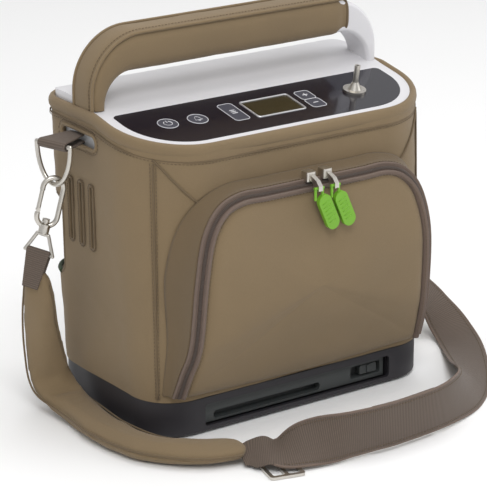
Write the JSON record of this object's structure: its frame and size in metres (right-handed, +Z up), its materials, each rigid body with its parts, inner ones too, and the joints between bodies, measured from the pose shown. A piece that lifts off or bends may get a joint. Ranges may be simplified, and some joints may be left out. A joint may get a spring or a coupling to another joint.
{
  "type": "portable oxygen concentrator",
  "caption": "Portable oxygen concentrator in a fitted soft case with front zip pocket, padded carry handle, tilted control deck and a padded shoulder strap on snap hooks.",
  "frame": {"origin": "on the floor, at the centre of the unit's footprint between its feet (the strap on the floor is not centred)", "axes": "+Z up, +X to the right along the wide front as the user faces it, +Y to the back; the pocket faces -Y"},
  "size_m": [0.4357, 0.2839, 0.3271],
  "materials": {
    "case_fabric": "knitted neoprene",
    "pocket_fabric": "knitted neoprene",
    "webbing": "ribbed nylon webbing",
    "zip_tape": "woven tape",
    "nickel": "satin nickel",
    "green_rubber": "soft matt",
    "white_plastic": "fine satin",
    "panel_black": "gloss",
    "lcd": "dark display",
    "key_grey": "satin",
    "base_black": "fine texture",
    "battery_black": "fine texture",
    "rubber_black": "matt",
    "housing_grey": "fine texture",
    "filter_foam": "open foam",
    "steel": "zinc plated",
    "aluminium": "cast",
    "tube_clear": "clear",
    "board_green": "solder mask"
  },
  "bodies": {
    "unit": {"base_tray": "base_black", "battery_connector": "battery_black", "case_screws": "steel", "case_shell": "case_fabric", "chassis_plate": "aluminium", "compressor_body": "aluminium", "control_panel": "panel_black", "cylinder_heads": "aluminium", "dc_inlet": "battery_black", "display_board": "board_green", "exhaust_grille": "battery_black", "fan_frame": "battery_black", "front_pocket": "pocket_fabric", "gas_tubes": "tube_clear", "handle_sleeve": "case_fabric", "intake_filter": "filter_foam", "intake_grille": "battery_black", "lcd_display": "lcd", "main_board": "board_green", "main_housing": "housing_grey", "oxygen_outlet": "nickel", "product_tank": "aluminium", "rubber_feet": "rubber_black", "shoulder_pad": "case_fabric", "sieve_beds": "aluminium", "sieve_caps": "housing_grey", "solenoid_valves": "steel", "strap_webbing": "webbing", "top_cover": "white_plastic", "valve_manifold": "housing_grey", "vibration_mounts": "rubber_black", "webbing_loop_left": "webbing", "webbing_loop_right": "webbing", "zip_tape": "zip_tape"},
    "zip_slider_left": {"zip_slider_left": "nickel"},
    "zip_slider_right": {"zip_slider_right": "nickel"},
    "zip_pull_left": {"zip_pull_left": "green_rubber"},
    "zip_pull_right": {"zip_pull_right": "green_rubber"},
    "power_button": {"power_button": "key_grey"},
    "alarm_button": {"alarm_button": "key_grey"},
    "mode_button": {"mode_button": "key_grey"},
    "plus_button": {"plus_button": "key_grey"},
    "minus_button": {"minus_button": "key_grey"},
    "battery": {"battery_pack": "battery_black"},
    "battery_latch": {"battery_latch": "battery_black"},
    "sling_left": {"d_ring_left": "nickel", "swivel_eye_left": "nickel", "strap_tab_left": "webbing"},
    "sling_right": {"d_ring_right": "nickel", "swivel_eye_right": "nickel", "strap_tab_right": "webbing"},
    "hook_left": {"snap_hook_left": "nickel"},
    "hook_right": {"snap_hook_right": "nickel"},
    "gate_left": {"hook_gate_left": "nickel"},
    "gate_right": {"hook_gate_right": "nickel"},
    "buckle": {"slide_buckle": "nickel"},
    "fan": {"fan_rotor": "battery_black"},
    "crank": {"compressor_crank": "steel"},
    "piston_front": {"piston_front": "aluminium"},
    "piston_rear": {"piston_rear": "aluminium"}
  },
  "joints": [
    {"name": "zip_left_open", "type": "slide", "parent": "unit", "child": "zip_slider_left", "axis": [-1, 0, 0], "range_m": [0, 0.045]},
    {"name": "zip_right_open", "type": "slide", "parent": "unit", "child": "zip_slider_right", "axis": [1, 0, 0], "range_m": [0, 0.045]},
    {"name": "pull_left_lift", "type": "hinge", "parent": "zip_slider_left", "child": "zip_pull_left", "pos_m": [-0.006, -0.1165, 0.206], "axis": [-1, 0, 0], "range_deg": [0, 120]},
    {"name": "pull_right_lift", "type": "hinge", "parent": "zip_slider_right", "child": "zip_pull_right", "pos_m": [0.0105, -0.1165, 0.206], "axis": [-1, 0, 0], "range_deg": [0, 120]},
    {"name": "power_press", "type": "slide", "parent": "unit", "child": "power_button", "axis": [0, 0.1788, -0.9839], "range_m": [0, 0.0008]},
    {"name": "alarm_press", "type": "slide", "parent": "unit", "child": "alarm_button", "axis": [0, 0.1788, -0.9839], "range_m": [0, 0.0008]},
    {"name": "mode_press", "type": "slide", "parent": "unit", "child": "mode_button", "axis": [0, 0.1788, -0.9839], "range_m": [0, 0.0008]},
    {"name": "plus_press", "type": "slide", "parent": "unit", "child": "plus_button", "axis": [0, 0.1788, -0.9839], "range_m": [0, 0.0008]},
    {"name": "minus_press", "type": "slide", "parent": "unit", "child": "minus_button", "axis": [0, 0.1788, -0.9839], "range_m": [0, 0.0008]},
    {"name": "battery_slide", "type": "slide", "parent": "unit", "child": "battery", "axis": [0, -1, 0], "range_m": [0, 0.04]},
    {"name": "latch_release", "type": "slide", "parent": "battery", "child": "battery_latch", "axis": [-1, 0, 0], "range_m": [0, 0.006]},
    {"name": "sling_left_swing", "type": "hinge", "parent": "unit", "child": "sling_left", "pos_m": [-0.175, 0.0185, 0.239], "axis": [-0.309, 0.9511, 0], "range_deg": [-8, 8]},
    {"name": "hook_left_swivel", "type": "hinge", "parent": "sling_left", "child": "hook_left", "pos_m": [-0.17408, 0.0182, 0.20995], "axis": [0.2502, -0.05, 0.9669], "range_deg": [-5, 40]},
    {"name": "gate_left_open", "type": "hinge", "parent": "hook_left", "child": "gate_left", "pos_m": [-0.18914, 0.02221, 0.18509], "axis": [0.301, 0.9532, -0.0286], "range_deg": [0, 20]},
    {"name": "sling_right_swing", "type": "hinge", "parent": "unit", "child": "sling_right", "pos_m": [0.175, 0.0185, 0.239], "axis": [-0.309, -0.9511, 0], "range_deg": [-8, 8]},
    {"name": "hook_right_swivel", "type": "hinge", "parent": "sling_right", "child": "hook_right", "pos_m": [0.17408, 0.0182, 0.20995], "axis": [0.2502, 0.05, -0.9669], "range_deg": [-5, 40]},
    {"name": "gate_right_open", "type": "hinge", "parent": "hook_right", "child": "gate_right", "pos_m": [0.18914, 0.02221, 0.18509], "axis": [0.301, -0.9532, 0.0286], "range_deg": [0, 20]},
    {"name": "buckle_adjust", "type": "slide", "parent": "unit", "child": "buckle", "axis": [0.9707, -0.2402, 0], "range_m": [0, 0.008]},
    {"name": "fan_spin", "type": "hinge", "parent": "unit", "child": "fan", "pos_m": [0.025, 0.06, 0.1], "axis": [0, 1, 0], "continuous": true},
    {"name": "crank_spin", "type": "hinge", "parent": "unit", "child": "crank", "pos_m": [-0.055, 0, 0.104], "axis": [1, 0, 0], "continuous": true},
    {"name": "piston_front_stroke", "type": "slide", "parent": "unit", "child": "piston_front", "axis": [0, -1, 0], "range_m": [-0.004, 0.004]},
    {"name": "piston_rear_stroke", "type": "slide", "parent": "unit", "child": "piston_rear", "axis": [0, 1, 0], "range_m": [-0.004, 0.004]}
  ]
}
